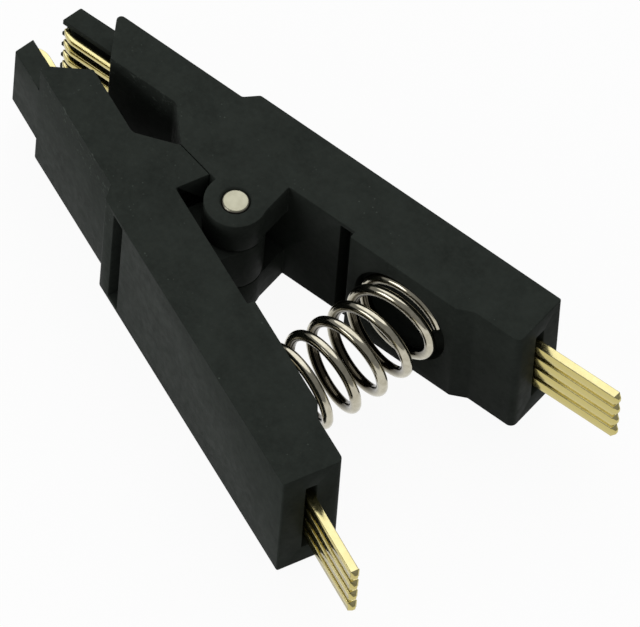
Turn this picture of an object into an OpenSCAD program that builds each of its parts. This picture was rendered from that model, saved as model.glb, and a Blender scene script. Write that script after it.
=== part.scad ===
// Spring test clip for an eight-lead chip with a 1.27 mm lead pitch.
// Two moulded arms swing on a steel pin. A compression spring between the handles
// shuts the jaws, and four contact strips in each arm run from the jaw to tail pins.
//
// The clip lies on its side: Z runs along the pivot pin, the jaws point to -X and the
// tail pins to +X, and the two arms mirror each other about the plane Y = 0. Each arm
// is drawn in its own frame, with its first axis along the arm, towards the tail, and
// its second axis out from the clip's middle. Both start at the pivot.

/* [Arms] */
// Angle of each arm to the middle plane with the jaws shut
rest_angle = 12; // [11:0.5:13]
// Height of an arm, along the pivot pin
arm_h = 10.5; // [10:0.1:12]
// From the pivot to the end face of the tail
tail_len = 22; // [20.5:0.5:26]
// From the pivot to the tip of the jaw
nose_len = 19.2; // [18.8:0.1:21]
// From the pivot to the outer front corner of the full-height body
body_front = 15.8; // [15.4:0.1:16.4]
// From the pivot to the inner front corner of the full-height body
body_front_inner = 13.8; // [13.2:0.1:14.2]
// Inner face of the handle, out from the arm's axis
inner_face = 3.2; // [3:0.05:3.4]
// Depth of the handle from its inner face to its outer face
handle_depth = 4.7; // [4.5:0.1:5.5]
// Set-back of the slimmer front section behind the handle's outer face
front_step = 0.9; // [0.5:0.1:1.2]
// From the pivot to the middle of that step
front_step_at = 4.5; // [4:0.1:6]
// Depth of the front section at the jaw's throat
front_depth = 3.3; // [3.1:0.1:3.5]
// Radius of the soft corners of the outline
corner_r = 0.35; // [0.2:0.05:0.4]

/* [Jaws] */
// Distance between neighbouring leads of the chip
lead_pitch = 1.27; // [1.2:0.01:1.3]
// Thickness of a comb tooth at its root
tooth_t = 0.65; // [0.55:0.05:0.7]
// Depth of the nose behind the comb
nose_depth = 1.58; // [1.4:0.02:1.7]
// Radius of the scoops between the teeth
scoop_r = 0.46; // [0.42:0.01:0.48]
// How far a scoop's axis lies inside the comb's face
scoop_sink = 0.1; // [0.05:0.01:0.15]
// From the pivot to the front end of the stop faces
stop_front = 5.7; // [5.2:0.1:6.2]
// Air between the two stop faces with the jaws shut
stop_gap = 0.06; // [0.04:0.01:0.12]
// Slope of the jaw's throat against the arm
throat_angle = 46; // [42:1:50]

/* [Pivot] */
// Diameter of the pivot pin
pin_d = 2; // [1.6:0.1:2.4]
// Radius of the hinge lugs
lug_r = 2.2; // [2:0.05:2.4]
// Height of each outer lug of the right arm
ear_h = 3; // [2.4:0.1:3.4]
// Air above and below the left arm's middle lug
lug_gap = 0.1; // [0.05:0.01:0.2]
// Air between a lug and the wall of the recess that it turns in
recess_gap = 0.5; // [0.35:0.05:0.7]
// Radial air round the pin in the left arm's lug
running_clearance = 0.04; // [0.02:0.01:0.08]
// Radial air round the pin in the right arm's lugs
press_clearance = 0.01; // [0.005:0.005:0.02]
// Chamfer on the pin's ends
pin_chamfer = 0.15; // [0.1:0.05:0.25]

/* [Spring] */
// Outer diameter of the spring
spring_d = 7; // [6.4:0.1:7.4]
// Diameter of the spring wire
wire_d = 0.8; // [0.6:0.05:0.9]
// Number of turns, with the closed turn at each end
spring_turns = 6.5; // [5.5:0.5:7.5]
// Where the wire starts round the coil, from the side away from the pivot
wire_start = 200; // [0:10:350]
// From the pivot to the spring's axis, along the arm
spring_at = 12.4; // [11.9:0.1:12.8]
// Height of the spring pad above the handle's inner face
pad_rise = 0.55; // [0.3:0.05:0.7]
// Width of pad left round the spring pocket
pad_margin = 0.75; // [0.4:0.05:1]
// Depth of the spring pocket below the pad
pocket_depth = 1; // [0.7:0.1:1.2]
// Air round the spring in its pocket
pocket_clearance = 0.35; // [0.25:0.05:0.45]
// Air under each end of the spring
seat_gap = 0.03; // [0.02:0.01:0.06]

/* [Contacts] */
// Width of a tail pin, across the arm
pin_w = 0.64; // [0.5:0.02:0.7]
// Height of a tail pin, along the pivot
pin_t = 0.9; // [0.7:0.05:0.95]
// Length of the tail pins outside the arm
pin_out = 6.9; // [5:0.1:9]
// From the handle's outer face to the middle of the tail pins
pin_inset = 2.25; // [2:0.05:2.5]
// Thickness of a contact finger in the jaw
finger_t = 0.42; // [0.3:0.02:0.46]
// Height of a contact finger, along the pivot
finger_h = 0.55; // [0.4:0.05:0.6]
// Air behind a finger, which lets it flex
finger_gap = 0.2; // [0.1:0.05:0.3]
// Radius of the finger's curled tip
finger_tip_r = 1.4; // [1.2:0.05:1.5]
// From the finger's tip back to where its curl begins
finger_tip_len = 1.1; // [0.9:0.05:1.15]
// From the jaw's tip to the finger's tip
finger_set_back = 0.25; // [0.1:0.05:0.4]
// Air round a contact in its tunnel
tunnel_clearance = 0.05; // [0.03:0.01:0.08]

/* [Slots] */
// Width of the upright slot in the handle's outer face
outer_slot_w = 1.25; // [0.9:0.05:1.4]
// From the pivot to the middle of that slot
outer_slot_at = 2.15; // [1.6:0.05:2.4]
// Width of the upright slot at the foot of the spring pad
inner_slot_w = 1.2; // [1:0.1:1.5]
// Depth of both upright slots
slot_depth = 1.2; // [0.8:0.1:1.3]
// Height of material left above and below an upright slot
slot_rim = 0.4; // [0.3:0.05:0.6]
// Height of the slot in the tail's end face
tail_slot_h = 7.1; // [6.2:0.1:7.6]
// Width of the slot in the tail's end face
tail_slot_w = 0.86; // [0.8:0.02:1]
// Depth of the slot in the tail's end face
tail_slot_depth = 1.5; // [1:0.1:2.5]

/* [Hidden] */
$fn = 96;
contacts = 4;
cut = 1;                 // overrun of cutting tools past a face
skin = 0.01;             // overrun where a larger one would mark another face
arc_steps = 6;           // straight pieces in each rounded corner
lug_flank = 0.1;         // set-back of a lug's straight side behind its round end
lug_back = 0.02;         // set-back of a lug's stop side behind its arm's stop face
root_lap = 0.5;          // length of a lug's root inside its arm
edge_r = 0.15;           // radius of the crisp corners
throat_r = 0.8;          // radius in the corner of the jaw's throat
tail_r = 0.5;            // radius of the handle's inner corner at the tail
pad_ramp = 1.15;         // length of the slope from the spring pad to the tail
tail_rise = 0.05;        // set-back of the tail's inner face behind the handle's
mouth_depth = 1.3;       // from the body's inner front corner to the mouth's back
mouth_margin = 0.35;     // air on the jaw side of the fingers in the mouth
mouth_end_gap = 0.15;    // air above and below the row of contacts in the mouth
shank_set_back = 0.2;    // from the mouth's back to the front of a shank
finger_lap = 1;          // length of a finger inside its shank
pin_point = 0.3;         // length of the blunt point of a tail pin
way_overlap = 0.1;       // overlap of the tunnels with the slots that they join
mid_h = arm_h / 2;

// Faces of the arm, out from its axis
handle_outer = inner_face + handle_depth;
front_outer = handle_outer - front_step;
throat_face = front_outer - front_depth;
comb_face = front_outer - nose_depth;
pad_face = inner_face - pad_rise;
tail_inner = inner_face + tail_rise;

// The comb has one tooth more than there are contacts
nose_h = contacts * lead_pitch + tooth_t;

// Spring pocket, and the pad that carries it
pocket_r = spring_d / 2 + pocket_clearance;
pad_start = spring_at - pocket_r - pad_margin;
pad_end = spring_at + pocket_r + pad_margin;

// Recess that the other arm's lugs turn in
recess_at = lug_r + recess_gap;
ear_top = arm_h - ear_h;

// The contact strip: its line through the arm, and its finger
pin_line = handle_outer - pin_inset;
finger_line = comb_face - finger_gap - finger_t / 2;
finger_tip = nose_len - finger_set_back;
curl_at = finger_tip - finger_tip_len;
mouth_back = body_front_inner - mouth_depth;
shank_front = mouth_back - shank_set_back;
mouth_h = (contacts - 1) * lead_pitch + pin_t + 2 * mouth_end_gap;

// ---- plan geometry ----

function unit(v) = v / norm(v);
function bearing(v) = atan2(v[1], v[0]);
function wrapped(a) = a > 180 ? a - 360 : a < -180 ? a + 360 : a;

// Points of the arc that rounds corner p, between neighbours a and b
function corner(a, p, b) =
    let (
        at = [p[0], p[1]],
        to_a = unit([a[0], a[1]] - at),
        to_b = unit([b[0], b[1]] - at),
        half = acos(to_a * to_b) / 2,
        centre = at + unit(to_a + to_b) * p[2] / sin(half),
        start = at + to_a * p[2] / tan(half),
        end = at + to_b * p[2] / tan(half),
        from = bearing(start - centre),
        sweep = wrapped(bearing(end - centre) - from)
    )
    [for (i = [0 : arc_steps])
        let (a = from + sweep * i / arc_steps)
        centre + p[2] * [cos(a), sin(a)]];

// An outline whose points are [along, out, corner radius]
function rounded(outline) =
    let (last = len(outline) - 1)
    [for (i = [0 : last])
        each outline[i][2] == 0
            ? [[outline[i][0], outline[i][1]]]
            : corner(outline[i == 0 ? last : i - 1], outline[i], outline[i == last ? 0 : i + 1])];

// A straight strip of width w along the line from a to b
function strip(a, b, w) =
    let (side = [a[1] - b[1], b[0] - a[0]] / norm(b - a) * w / 2)
    [a + side, b + side, b - side, a - side];

// The arm's own "out" value of the stop face, or of a face set back behind it
function stop_face(along, back = 0) =
    (stop_gap / 2 + back - along * sin(rest_angle)) / cos(rest_angle);

// The line through the middle of a contact's straight shank
function shank_line(along) =
    pin_line + (finger_line - pin_line) * (tail_len - along) / (tail_len + shank_front);

function contact_height(i) = mid_h + ((contacts + 1) / 2 - i) * lead_pitch;

// Turns a piece from the arm's frame into place, on the right or on the left
module placed(side) {
    mirror([0, side == "left" ? 1 : 0, 0]) rotate(rest_angle) children();
}

// ---- arms ----

module body_outline() {
    throat_back = stop_front + (throat_face - stop_face(-stop_front)) / tan(throat_angle);
    polygon(rounded([
        [-body_front, front_outer, corner_r],
        [-front_step_at - front_step / 2, front_outer, corner_r],
        [-front_step_at + front_step / 2, handle_outer, corner_r],
        [tail_len, handle_outer, edge_r],
        [tail_len, tail_inner, tail_r],
        [pad_end + pad_ramp, tail_inner, corner_r],
        [pad_end, pad_face, corner_r],
        [pad_start, pad_face, edge_r],
        [pad_start, inner_face, 0],
        [-recess_at, inner_face, edge_r],
        [-recess_at, stop_face(-recess_at), 0],
        [-stop_front, stop_face(-stop_front), edge_r],
        [-throat_back, throat_face, throat_r],
        [-body_front_inner, throat_face, edge_r]
    ]));
}

module lug_outline() {
    flank = lug_r - lug_flank;
    root = inner_face + root_lap;
    front = -recess_at - root_lap;
    middle = -lug_r / 2;
    circle(lug_r);
    polygon([
        [middle, stop_face(middle, lug_back)],
        [0, -lug_r / 4],
        [flank, -lug_r / 4],
        [flank, root],
        [front, root],
        [front, stop_face(front, lug_back)]
    ]);
}

module lug(bottom, top) {
    translate([0, 0, bottom]) linear_extrude(top - bottom) lug_outline();
}

module nose() {
    tip_slant = nose_depth * tan(rest_angle);
    translate([0, 0, mid_h - nose_h / 2])
        linear_extrude(nose_h)
            polygon(rounded([
                [-nose_len, comb_face, 0],
                [-nose_len + tip_slant, front_outer, edge_r],
                [-body_front_inner, front_outer, 0],
                [-body_front_inner, comb_face, 0]
            ]));
}

// Scoops that leave pointed teeth and let the fingers flex
module comb_scoops() {
    for (i = [1 : contacts])
        translate([-nose_len - cut, comb_face + scoop_sink, contact_height(i)])
            rotate([0, 90, 0])
                cylinder(r = scoop_r, h = nose_len - body_front + 2 * cut);
}

module contact_way() {
    back = tail_len - tail_slot_depth + way_overlap;
    front = -mouth_back - way_overlap;
    for (i = [1 : contacts])
        translate([0, 0, contact_height(i) - pin_t / 2 - tunnel_clearance])
            linear_extrude(pin_t + 2 * tunnel_clearance)
                polygon(strip(
                    [back, shank_line(back)],
                    [front, shank_line(front)],
                    pin_w + 2 * tunnel_clearance
                ));
    // mouth where the fingers leave the body
    translate([-body_front - cut, finger_line - finger_t / 2 - mouth_margin, mid_h - mouth_h / 2])
        cube([body_front + cut - mouth_back, mouth_margin + finger_t + finger_gap, mouth_h]);
    // slot in the tail's end face
    translate([tail_len - tail_slot_depth, pin_line - tail_slot_w / 2, mid_h - tail_slot_h / 2])
        cube([tail_slot_depth + cut, tail_slot_w, tail_slot_h]);
}

module upright_slots() {
    slot_h = arm_h - 2 * slot_rim;
    translate([-outer_slot_at - outer_slot_w / 2, handle_outer - slot_depth, slot_rim])
        cube([outer_slot_w, slot_depth + cut, slot_h]);
    translate([pad_start - inner_slot_w, pad_face - cut, slot_rim])
        cube([inner_slot_w, pad_rise + cut + slot_depth, slot_h]);
}

module spring_pocket() {
    translate([spring_at, pad_face + pocket_depth, mid_h])
        rotate([90, 0, 0])
            cylinder(r = pocket_r, h = pocket_depth + cut);
}

module bore(r, bottom, top) {
    lip = pin_chamfer + skin;
    translate([0, 0, bottom - cut]) cylinder(r = r, h = top - bottom + 2 * cut);
    translate([0, 0, bottom - skin]) cylinder(r1 = r + lip, r2 = r, h = lip);
    translate([0, 0, top + skin - lip]) cylinder(r1 = r, r2 = r + lip, h = lip);
}

module arm_without_lugs() {
    difference() {
        union() {
            linear_extrude(arm_h) body_outline();
            nose();
        }
        comb_scoops();
        contact_way();
        upright_slots();
        spring_pocket();
    }
}

module right_arm() {
    color([0.07, 0.075, 0.07])
    placed("right")
    difference() {
        union() {
            arm_without_lugs();
            lug(0, ear_h);
            lug(ear_top, arm_h);
        }
        bore(pin_d / 2 + press_clearance, 0, arm_h);
    }
}

module left_arm() {
    color([0.07, 0.075, 0.07])
    placed("left")
    difference() {
        union() {
            arm_without_lugs();
            lug(ear_h + lug_gap, ear_top - lug_gap);
        }
        bore(pin_d / 2 + running_clearance, ear_h + lug_gap, ear_top - lug_gap);
    }
}

// ---- pivot pin ----

module pivot_pin() {
    r = pin_d / 2;
    color([0.8, 0.78, 0.74])
    rotate_extrude()
        polygon([
            [0, 0],
            [r - pin_chamfer, 0],
            [r, pin_chamfer],
            [r, arm_h - pin_chamfer],
            [r - pin_chamfer, arm_h],
            [0, arm_h]
        ]);
}

// ---- spring ----
// The two pockets face each other at twice the rest angle, so the spring bows: its
// axis is an arc about a point on the middle plane, square to both pocket floors.

wire_r = wire_d / 2;
coil_r = (spring_d - wire_d) / 2;
floor_out = pad_face + pocket_depth;
seat_x = spring_at * cos(rest_angle) - floor_out * sin(rest_angle);
seat_y = spring_at * sin(rest_angle) + floor_out * cos(rest_angle);
bow_r = seat_y / sin(rest_angle);
bow_x = seat_x - seat_y / tan(rest_angle);
end_swing = asin((wire_r + seat_gap) / (bow_r - coil_r));
free_swing = 2 * (rest_angle - end_swing);
closed_step = 1.2 * wire_d / bow_r * 180 / PI;
open_step = (free_swing - 2 * closed_step) / (spring_turns - 2);
steps_per_turn = 24;
wire_sides = 10;

// Swing along the bow after t turns: a closed turn at each end, open turns between
function swing(t) =
    end_swing - rest_angle + (
        t < 1 ? t * closed_step
        : t < spring_turns - 1 ? closed_step + (t - 1) * open_step
        : free_swing - (spring_turns - t) * closed_step
    );
function bow_out(t) = [cos(swing(t)), sin(swing(t)), 0];
function turned(t) = wire_start - 360 * t;
function coil_out(t) = cos(turned(t)) * bow_out(t) + sin(turned(t)) * [0, 0, 1];
function wire_at(t) = [bow_x, 0, mid_h] + bow_r * bow_out(t) + coil_r * coil_out(t);
function wire_ahead(t) = unit(wire_at(t + skin) - wire_at(t - skin));

module spring() {
    steps = round(spring_turns * steps_per_turn);
    rings = [for (k = [0 : steps])
        let (
            t = k / steps_per_turn,
            ahead = wire_ahead(t),
            side = unit(cross(ahead, coil_out(t))),
            out = cross(side, ahead)
        )
        [for (j = [0 : wire_sides - 1])
            let (a = 360 * j / wire_sides)
            wire_at(t) + wire_r * (cos(a) * out + sin(a) * side)]];
    points = [for (ring = rings) each ring];
    walls = [for (k = [0 : steps - 1], j = [0 : wire_sides - 1])
        let (n = (j + 1) % wire_sides, a = k * wire_sides, b = a + wire_sides)
        [a + j, b + j, b + n, a + n]];
    ends = [
        [for (j = [0 : wire_sides - 1]) j],
        [for (j = [0 : wire_sides - 1]) steps * wire_sides + wire_sides - 1 - j]
    ];
    color([0.75, 0.74, 0.7])
    polyhedron(points = points, faces = concat(walls, ends), convexity = 10);
}

// ---- contacts ----

// The curled end of a finger, as a piece of a ring that opens away from the jaw
module finger_curl() {
    curl_sweep = asin(finger_tip_len / finger_tip_r);
    inner_r = finger_tip_r - finger_t;
    centre = [-curl_at, finger_line - finger_t / 2 + finger_tip_r];
    polygon(concat(
        [for (i = [0 : arc_steps])
            let (a = curl_sweep * i / arc_steps)
            centre - finger_tip_r * [sin(a), cos(a)]],
        [for (i = [arc_steps : -1 : 0])
            let (a = curl_sweep * i / arc_steps)
            centre - inner_r * [sin(a), cos(a)]]
    ));
}

// Side view of the tail pin: square, with a blunt point
module pin_end_cut() {
    end = tail_len + pin_out;
    translate([0, 0, -pin_t / 2])
        linear_extrude(pin_t)
            polygon([
                [-nose_len, -handle_outer],
                [end - pin_point, -handle_outer],
                [end - pin_point, shank_line(end) - pin_w / 2],
                [end, shank_line(end) - pin_w / 5],
                [end, shank_line(end) + pin_w / 5],
                [end - pin_point, shank_line(end) + pin_w / 2],
                [end - pin_point, 2 * handle_outer],
                [-nose_len, 2 * handle_outer]
            ]);
}

module pin_side_view() {
    end = tail_len + pin_out;
    translate([0, 2 * handle_outer, 0])
        rotate([90, 0, 0])
            linear_extrude(3 * handle_outer)
                polygon([
                    [-nose_len, -pin_t / 2],
                    [end - pin_point, -pin_t / 2],
                    [end, -pin_t / 5],
                    [end, pin_t / 5],
                    [end - pin_point, pin_t / 2],
                    [-nose_len, pin_t / 2]
                ]);
}

module contact(i) {
    end = tail_len + pin_out;
    translate([0, 0, contact_height(i)]) {
        intersection() {
            translate([0, 0, -pin_t / 2])
                linear_extrude(pin_t)
                    polygon(strip(
                        [-shank_front, shank_line(-shank_front)],
                        [end, shank_line(end)],
                        pin_w
                    ));
            pin_end_cut();
            pin_side_view();
        }
        translate([0, 0, -finger_h / 2])
            linear_extrude(finger_h) {
                polygon(strip([finger_lap - shank_front, finger_line], [-curl_at, finger_line], finger_t));
                finger_curl();
            }
    }
}

module left_contact(i) {
    color([0.86, 0.78, 0.45]) placed("left") contact(i);
}

module right_contact(i) {
    color([0.86, 0.78, 0.45]) placed("right") contact(i);
}

left_arm();
right_arm();
pivot_pin();
spring();
left_contact(1);  // left_contact_1
left_contact(2);  // left_contact_2
left_contact(3);  // left_contact_3
left_contact(4);  // left_contact_4
right_contact(1);  // right_contact_1
right_contact(2);  // right_contact_2
right_contact(3);  // right_contact_3
right_contact(4);  // right_contact_4
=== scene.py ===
import math

import bpy
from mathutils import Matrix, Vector


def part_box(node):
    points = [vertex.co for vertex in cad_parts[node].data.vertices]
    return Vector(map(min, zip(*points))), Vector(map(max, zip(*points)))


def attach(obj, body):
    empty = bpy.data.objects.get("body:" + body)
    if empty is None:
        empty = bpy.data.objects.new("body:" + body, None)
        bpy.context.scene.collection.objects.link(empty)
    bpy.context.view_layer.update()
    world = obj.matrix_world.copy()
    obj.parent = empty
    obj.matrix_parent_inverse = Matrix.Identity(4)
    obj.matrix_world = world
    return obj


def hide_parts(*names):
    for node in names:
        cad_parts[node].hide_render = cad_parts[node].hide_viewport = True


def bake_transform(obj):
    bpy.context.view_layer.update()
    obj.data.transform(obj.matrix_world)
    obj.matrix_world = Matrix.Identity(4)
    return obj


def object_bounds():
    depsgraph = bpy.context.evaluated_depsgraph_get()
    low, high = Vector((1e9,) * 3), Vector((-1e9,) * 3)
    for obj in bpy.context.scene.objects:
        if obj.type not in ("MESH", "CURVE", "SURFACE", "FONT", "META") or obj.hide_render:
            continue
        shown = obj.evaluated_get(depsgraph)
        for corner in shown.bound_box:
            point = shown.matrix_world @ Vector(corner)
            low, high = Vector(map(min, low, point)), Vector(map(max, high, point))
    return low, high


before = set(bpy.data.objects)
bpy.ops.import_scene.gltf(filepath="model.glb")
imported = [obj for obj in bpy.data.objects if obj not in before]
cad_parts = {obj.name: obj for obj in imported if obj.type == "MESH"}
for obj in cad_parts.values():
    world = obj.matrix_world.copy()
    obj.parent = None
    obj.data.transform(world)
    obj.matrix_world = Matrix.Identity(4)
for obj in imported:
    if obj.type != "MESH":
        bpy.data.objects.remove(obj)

# The clip as it is packed: an object of about 47 x 25 x 10 mm that lies on its side,
# pivot pin upright, jaws towards -X and tail pins towards +X.
cad_low, cad_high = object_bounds()
clip_low, clip_high = Vector(cad_low), Vector(cad_high)
clip_middle = (clip_low + clip_high) / 2
mm = 0.001


# ---------------------------------------------------------------- camera
# A long lens from high over the tail end, on the left arm's side, so that the pin's
# end, both handles, the spring between them and the outer side of the left arm show.

view_azimuth = math.radians(-43.73)
view_height = math.radians(56.06)
view_roll = math.radians(4.74)
view_distance = 2.4
picture_width = 43.54 * mm
look_at = clip_middle + Vector((4.37, 1.16, -0.25)) * mm

towards_camera = Vector((
    math.cos(view_height) * math.cos(view_azimuth),
    math.cos(view_height) * math.sin(view_azimuth),
    math.sin(view_height),
))
bpy.ops.object.camera_add(location=look_at + towards_camera * view_distance)
camera = bpy.context.object
camera.name = "camera"
camera.rotation_mode = "QUATERNION"
camera.rotation_quaternion = towards_camera.to_track_quat("Z", "Y")
camera.rotation_mode = "XYZ"
camera.rotation_euler.rotate_axis("Z", view_roll)
camera.data.sensor_width = 36
camera.data.lens = camera.data.sensor_width * view_distance / picture_width
camera.data.clip_start = 0.01
camera.data.clip_end = 10
bpy.context.scene.camera = camera
bpy.context.scene.view_settings.view_transform = "Standard"


# ---------------------------------------------------------------- moulded arms
# Two levers injection-moulded in glass-filled black plastic, with the hinge lugs, the
# combs of the jaws and the spring pads in one piece with them. The mould leaves every
# edge slightly round, and handling leaves dust on top and rub marks near the jaws.

arm_edge_round = 0.06 * mm


def grey(level):
    return (level * 0.93, level * 1.09, level * 0.95, 1)


def noise(tree, where, scale, detail=3, roughness=0.6):
    made = tree.nodes.new("ShaderNodeTexNoise")
    made.inputs["Scale"].default_value = scale
    made.inputs["Detail"].default_value = detail
    made.inputs["Roughness"].default_value = roughness
    tree.links.new(where, made.inputs["Vector"])
    return made.outputs["Fac"]


def ramp(tree, value, low, high, start=0.0, end=1.0):
    made = tree.nodes.new("ShaderNodeMapRange")
    made.inputs["From Min"].default_value = low
    made.inputs["From Max"].default_value = high
    made.inputs["To Min"].default_value = start
    made.inputs["To Max"].default_value = end
    tree.links.new(value, made.inputs["Value"])
    return made.outputs["Result"]


def combine(tree, kind, first, second=0):
    made = tree.nodes.new("ShaderNodeMath")
    made.operation = kind
    tree.links.new(first, made.inputs[0])
    if isinstance(second, (int, float)):
        made.inputs[1].default_value = second
    else:
        tree.links.new(second, made.inputs[1])
    return made.outputs[0]


def blend_colours(tree, amount, first, second):
    made = tree.nodes.new("ShaderNodeMix")
    made.data_type = "RGBA"
    tree.links.new(amount, made.inputs["Factor"])
    for colour, socket in ((first, made.inputs["A"]), (second, made.inputs["B"])):
        if isinstance(colour, tuple):
            socket.default_value = colour
        else:
            tree.links.new(colour, socket)
    return made.outputs["Result"]


def relief(tree, height, strength, depth, under=None):
    made = tree.nodes.new("ShaderNodeBump")
    made.inputs["Strength"].default_value = strength
    made.inputs["Distance"].default_value = depth
    tree.links.new(height, made.inputs["Height"])
    if under is not None:
        tree.links.new(under, made.inputs["Normal"])
    return made.outputs["Normal"]


def new_material(name):
    made = bpy.data.materials.new(name)
    made.use_nodes = True
    return made, made.node_tree, made.node_tree.nodes["Principled BSDF"]


def moulded_plastic(name, rub_from, rub_to):
    made, tree, shader = new_material(name)
    coordinates = tree.nodes.new("ShaderNodeTexCoord")
    place = coordinates.outputs["Object"]
    split_facing = tree.nodes.new("ShaderNodeSeparateXYZ")
    tree.links.new(coordinates.outputs["Normal"], split_facing.inputs[0])
    upwards = ramp(tree, split_facing.outputs["Z"], 0.6, 0.95)

    # cloudy base colour, with fine streaks from the fibres in the plastic
    clouds = ramp(tree, noise(tree, place, 420, 4), 0.3, 0.7)
    streaks = ramp(tree, noise(tree, place, 2600, 4, 0.7), 0.35, 0.75)
    base = blend_colours(tree, clouds, grey(0.021), grey(0.030))
    base = blend_colours(tree, combine(tree, "MULTIPLY", streaks, 0.4), base, grey(0.041))

    # dust: a few faint specks, in patches, mostly on what faces up
    cells = tree.nodes.new("ShaderNodeTexVoronoi")
    cells.inputs["Scale"].default_value = 4200
    tree.links.new(place, cells.inputs["Vector"])
    size = tree.nodes.new("ShaderNodeSeparateColor")
    tree.links.new(cells.outputs["Color"], size.inputs["Color"])
    reach = ramp(tree, size.outputs["Red"], 0.7, 1.0, 0.0, 0.3)
    speck = combine(tree, "LESS_THAN", cells.outputs["Distance"], reach)
    patches = ramp(tree, noise(tree, place, 350, 4, 0.7), 0.5, 0.66)
    speck = combine(tree, "MULTIPLY", speck, patches)
    speck = combine(tree, "MULTIPLY", speck, ramp(tree, upwards, 0, 1, 0.12, 0.6))
    base = blend_colours(tree, speck, base, grey(0.085))

    # pale rub marks on the slimmer front section, near its top edge
    split_place = tree.nodes.new("ShaderNodeSeparateXYZ")
    tree.links.new(place, split_place.inputs[0])
    along = split_place.outputs["X"]
    zone = combine(
        tree,
        "MULTIPLY",
        ramp(tree, along, rub_from - 2 * mm, rub_from),
        ramp(tree, along, rub_to + 1.5 * mm, rub_to),
    )
    high = ramp(tree, split_place.outputs["Z"], 6.5 * mm, 9.5 * mm)
    sideways = ramp(tree, upwards, 0, 1, 1, 0.1)
    marks = ramp(tree, noise(tree, place, 1500, 6, 0.8), 0.55, 0.7)
    marks = combine(tree, "MULTIPLY", marks, combine(tree, "MULTIPLY", zone, high))
    marks = combine(tree, "MULTIPLY", marks, combine(tree, "MULTIPLY", sideways, 0.8))
    base = blend_colours(tree, marks, base, grey(0.11))
    tree.links.new(base, shader.inputs["Base Color"])

    rough = ramp(tree, noise(tree, place, 1500, 4), 0.3, 0.7, 0.4, 0.52)
    dusty = combine(tree, "MULTIPLY", speck, 0.9)
    tree.links.new(combine(tree, "MAXIMUM", rough, dusty), shader.inputs["Roughness"])
    shader.inputs["Specular IOR Level"].default_value = 0.008

    grain = relief(tree, noise(tree, place, 9000, 2, 0.5), 0.25, 0.006 * mm)
    swell = relief(tree, noise(tree, place, 500, 2), 0.3, 0.02 * mm, grain)
    tree.links.new(swell, shader.inputs["Normal"])
    return made


def deselect_all():
    bpy.ops.object.select_all(action="DESELECT")


def only(piece):
    deselect_all()
    piece.select_set(True)
    bpy.context.view_layer.objects.active = piece


def copy_of_node(node, name):
    # its own mesh, with the loose triangles joined into whole faces
    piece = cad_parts[node].copy()
    piece.data = piece.data.copy()
    piece.name = name
    piece.data.name = name
    for key in list(piece.keys()):
        del piece[key]
    piece.parent = None
    bpy.context.scene.collection.objects.link(piece)
    only(piece)
    bpy.ops.object.mode_set(mode="EDIT")
    bpy.ops.mesh.select_all(action="SELECT")
    bpy.ops.mesh.remove_doubles(threshold=1e-7)
    bpy.ops.mesh.dissolve_limited(angle_limit=math.radians(0.4))
    bpy.ops.object.mode_set(mode="OBJECT")
    return piece


def round_edges(piece, width, segments, angle):
    bevel = piece.modifiers.new("round edges", "BEVEL")
    bevel.width = width
    bevel.segments = segments
    bevel.limit_method = "ANGLE"
    bevel.angle_limit = math.radians(angle)
    bevel.use_clamp_overlap = False
    bevel.harden_normals = False
    bevel.miter_outer = "MITER_ARC"
    only(piece)
    bpy.ops.object.modifier_apply(modifier=bevel.name)
    bpy.ops.object.shade_smooth_by_angle(angle=math.radians(35))


def set_material(piece, material):
    piece.data.materials.clear()
    piece.data.materials.append(material)


jaw_front = clip_low.x
for side in ("left", "right"):
    arm = copy_of_node(f"{side}_arm", f"{side}_moulded_arm")
    round_edges(arm, arm_edge_round, 3, 28)
    plastic = moulded_plastic(f"{side}_arm_plastic", jaw_front + 2 * mm, jaw_front + 15 * mm)
    set_material(arm, plastic)
    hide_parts(f"{side}_arm")
    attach(arm, f"{side}_half")


# ---------------------------------------------------------------- pivot pin
# A short steel pin, turned and tumbled, pressed flush into the right arm's two outer
# lugs. The left arm's middle lug turns on it.

pin_low, pin_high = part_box("pivot_pin")
pin_radius = (pin_high.x - pin_low.x) / 2
pin_edge_round = 0.06 * mm


def satin_steel():
    made, tree, shader = new_material("satin_steel")
    place = tree.nodes.new("ShaderNodeTexCoord").outputs["Object"]
    shades = ramp(tree, noise(tree, place, 3000, 4), 0.3, 0.7)
    base = blend_colours(tree, shades, (0.33, 0.32, 0.24, 1), (0.40, 0.39, 0.30, 1))

    # painted shade: a near-black line round the end, where the lug holds the pin, standing in for the
    # shade in the gap and chamfer between pin and lug
    split_place = tree.nodes.new("ShaderNodeSeparateXYZ")
    tree.links.new(place, split_place.inputs[0])
    across = combine(tree, "POWER", split_place.outputs["X"], 2)
    across = combine(tree, "ADD", across, combine(tree, "POWER", split_place.outputs["Y"], 2))
    from_axis = combine(tree, "SQRT", across)
    painted_gap_shade = ramp(tree, from_axis, pin_radius - 0.12 * mm, pin_radius - 0.05 * mm)
    base = blend_colours(tree, painted_gap_shade, base, (0.10, 0.09, 0.08, 1))
    tree.links.new(base, shader.inputs["Base Color"])
    shader.inputs["Metallic"].default_value = 1
    rough = ramp(tree, noise(tree, place, 6000, 3), 0.3, 0.7, 0.28, 0.42)
    tree.links.new(rough, shader.inputs["Roughness"])
    pits = relief(tree, noise(tree, place, 12000, 2), 0.2, 0.004 * mm)
    tree.links.new(pits, shader.inputs["Normal"])
    return made


pin = copy_of_node("pivot_pin", "steel_pivot_pin")
round_edges(pin, pin_edge_round, 3, 28)
set_material(pin, satin_steel())
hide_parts("pivot_pin")
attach(pin, "right_half")


# ---------------------------------------------------------------- spring
# A compression spring of nickel-plated wire, wound right-handed with a closed turn at
# each end. Its ends sit in round pockets in the two pads, which face each other at an
# angle while the jaws are shut, so the spring bows a little away from the pivot.

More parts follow.
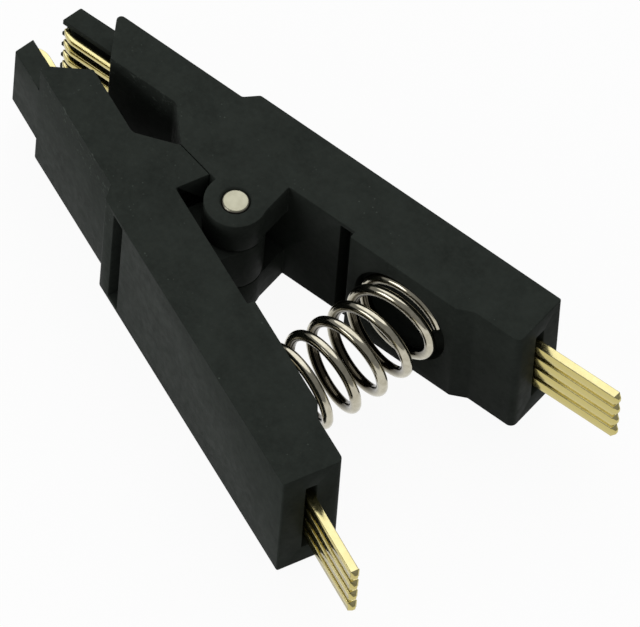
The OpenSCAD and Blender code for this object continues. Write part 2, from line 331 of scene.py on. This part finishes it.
spring_low, spring_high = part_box("spring")
wire_radius = 0.4 * mm
coil_radius = (spring_high.z - spring_low.z) / 2 - wire_radius
coil_middle_height = (spring_low.z + spring_high.z) / 2
turns = 6.5
wire_start = math.radians(200)
arm_angle = math.radians(12)
pocket_floor = Vector((11.37, 6.148)) * mm
bow_radius = pocket_floor.y / math.sin(arm_angle)
bow_centre = pocket_floor.x - pocket_floor.y / math.tan(arm_angle)
end_air = 0.03 * mm
end_swing = math.asin((wire_radius + end_air) / (bow_radius - coil_radius))
closed_turn_pitch = 1.2 * 2 * wire_radius
closed_swing = closed_turn_pitch / bow_radius
open_swing = (2 * (arm_angle - end_swing) - 2 * closed_swing) / (turns - 2)
points_per_turn = 72


def swing_after(turn):
    if turn < 1:
        return end_swing - arm_angle + turn * closed_swing
    if turn < turns - 1:
        return end_swing - arm_angle + closed_swing + (turn - 1) * open_swing
    return arm_angle - end_swing - (turns - turn) * closed_swing


def wire_point(turn):
    swing = swing_after(turn)
    out = Vector((math.cos(swing), math.sin(swing), 0))
    turned = wire_start - 2 * math.pi * turn
    across = math.cos(turned) * out + Vector((0, 0, math.sin(turned)))
    middle = Vector((bow_centre, 0, coil_middle_height))
    return middle + bow_radius * out + coil_radius * across


def nickel_plate():
    made, tree, shader = new_material("nickel_plate")
    place = tree.nodes.new("ShaderNodeTexCoord").outputs["Object"]
    shades = ramp(tree, noise(tree, place, 1800, 4), 0.3, 0.7)
    base = blend_colours(tree, shades, (0.42, 0.39, 0.30, 1), (0.56, 0.53, 0.43, 1))

    # painted shade: the side that faces the coil's axis is painted near black, standing in for the shade
    # and dark reflections on the wire's inner side
    outward = tree.nodes.new("ShaderNodeAttribute")
    outward.attribute_name = "outward"
    clear_of_painted_shade = ramp(tree, outward.outputs["Fac"], -0.7, 0.4)
    base = blend_colours(tree, clear_of_painted_shade, (0.08, 0.07, 0.05, 1), base)
    tree.links.new(base, shader.inputs["Base Color"])
    shader.inputs["Metallic"].default_value = 1
    rough = ramp(tree, noise(tree, place, 5000, 3), 0.3, 0.7, 0.10, 0.18)
    tree.links.new(rough, shader.inputs["Roughness"])
    drawn = relief(tree, noise(tree, place, 3000, 2), 0.04, 0.003 * mm)
    tree.links.new(drawn, shader.inputs["Normal"])
    return made


wire_line = bpy.data.curves.new("coil_spring", "CURVE")
wire_line.dimensions = "3D"
wire_line.bevel_depth = wire_radius
wire_line.bevel_resolution = 6
wire_line.use_fill_caps = True
wire_path = wire_line.splines.new("POLY")
steps = round(turns * points_per_turn)
wire_path.points.add(steps)
for step in range(steps + 1):
    wire_path.points[step].co = (*wire_point(step / points_per_turn), 1)
coil = bpy.data.objects.new("coil_spring", wire_line)
bpy.context.scene.collection.objects.link(coil)
only(coil)
bpy.ops.object.convert(target="MESH")
coil = bpy.context.object
bpy.ops.object.shade_smooth_by_angle(angle=math.radians(40))

# the wire's distance out from its own axis, which places the painted shade on the coil's inner side
outward = coil.data.attributes.new("outward", "FLOAT", "POINT")
for vertex in coil.data.vertices:
    from_centre = Vector((vertex.co.x - bow_centre, vertex.co.y)).length
    from_axis = math.hypot(from_centre - bow_radius, vertex.co.z - coil_middle_height)
    outward.data[vertex.index].value = (from_axis - coil_radius) / wire_radius
set_material(coil, nickel_plate())
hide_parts("spring")
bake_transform(coil)


# ---------------------------------------------------------------- contact strips
# Eight strips stamped from springy bronze and gold-plated. Each runs through its arm,
# from a thin curled finger between two teeth of the comb to a square pin at the tail.

def gold_plate():
    made, tree, shader = new_material("gold_plate")
    coordinates = tree.nodes.new("ShaderNodeTexCoord")
    place = coordinates.outputs["Object"]
    shades = ramp(tree, noise(tree, place, 900, 4), 0.3, 0.7)
    base = blend_colours(tree, shades, (0.62, 0.55, 0.26, 1), (0.71, 0.64, 0.34, 1))

    # painted shade: the sides are painted a darker, browner gold than top and bottom
    split_facing = tree.nodes.new("ShaderNodeSeparateXYZ")
    tree.links.new(coordinates.outputs["Normal"], split_facing.inputs[0])
    top_bottom_unshaded = ramp(tree, combine(tree, "ABSOLUTE", split_facing.outputs["Z"]), 0.35, 0.8)
    base = blend_colours(tree, top_bottom_unshaded, (0.56, 0.48, 0.18, 1), base)
    tree.links.new(base, shader.inputs["Base Color"])
    shader.inputs["Metallic"].default_value = 1
    rough = ramp(tree, noise(tree, place, 3000, 3), 0.3, 0.7, 0.13, 0.22)
    tree.links.new(rough, shader.inputs["Roughness"])
    rolled = relief(tree, noise(tree, place, 1500, 2), 0.05, 0.003 * mm)
    tree.links.new(rolled, shader.inputs["Normal"])
    return made


strip_edge_round = 0.05 * mm
gold = gold_plate()
for side in ("left", "right"):
    for number in (1, 2, 3, 4):
        strip = copy_of_node(f"{side}_contact_{number}", f"{side}_gold_contact_{number}")
        round_edges(strip, strip_edge_round, 2, 20)
        set_material(strip, gold)
        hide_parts(f"{side}_contact_{number}")
        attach(strip, f"{side}_half")


# ---------------------------------------------------------------- bench and lights
# A plain white sheet under the clip and two soft lamps, as for a picture of small parts:
# a large one overhead, beyond the clip from the camera, and a weaker one low down in
# front of the left arm.

def white_sheet():
    made, tree, shader = new_material("white_sheet")
    shader.inputs["Base Color"].default_value = (0.86, 0.86, 0.86, 1)
    shader.inputs["Roughness"].default_value = 0.9
    shader.inputs["Specular IOR Level"].default_value = 0.1
    glow = tree.nodes.new("ShaderNodeEmission")
    glow.inputs["Strength"].default_value = 1
    ray = tree.nodes.new("ShaderNodeLightPath")
    seen = combine(tree, "MAXIMUM", ray.outputs["Is Camera Ray"], ray.outputs["Is Glossy Ray"])
    seen = combine(tree, "MAXIMUM", seen, ray.outputs["Is Transmission Ray"])
    share = combine(tree, "MULTIPLY", seen, 0.94)
    mix = tree.nodes.new("ShaderNodeMixShader")
    tree.links.new(share, mix.inputs[0])
    tree.links.new(shader.outputs[0], mix.inputs[1])
    tree.links.new(glow.outputs[0], mix.inputs[2])
    tree.links.new(mix.outputs[0], tree.nodes["Material Output"].inputs["Surface"])
    return made


deselect_all()
bpy.ops.mesh.primitive_plane_add(size=4, location=(clip_middle.x, clip_middle.y, clip_low.z - 0.02 * mm))
sheet = bpy.context.object
sheet.name = "white_sheet"
sheet.data.materials.append(white_sheet())

studio = bpy.data.worlds.new("studio")
studio.use_nodes = True
surround = studio.node_tree.nodes["Background"]
surround.inputs["Color"].default_value = (1, 1, 1, 1)
surround.inputs["Strength"].default_value = 0.28
bpy.context.scene.world = studio


def soft_lamp(name, direction, distance, size, power):
    aim = Vector(direction).normalized()
    deselect_all()
    bpy.ops.object.light_add(type="AREA", location=clip_middle + aim * distance)
    lamp = bpy.context.object
    lamp.name = name
    lamp.rotation_euler = aim.to_track_quat("Z", "Y").to_euler()
    lamp.data.shape = "DISK"
    lamp.data.size = size
    lamp.data.energy = power


soft_lamp("overhead_lamp", (-0.41, 0.38, 0.83), 0.5, 0.8, 2.1)
soft_lamp("low_lamp", (-0.25, -1.0, 0.4), 0.5, 0.3, 0.7)
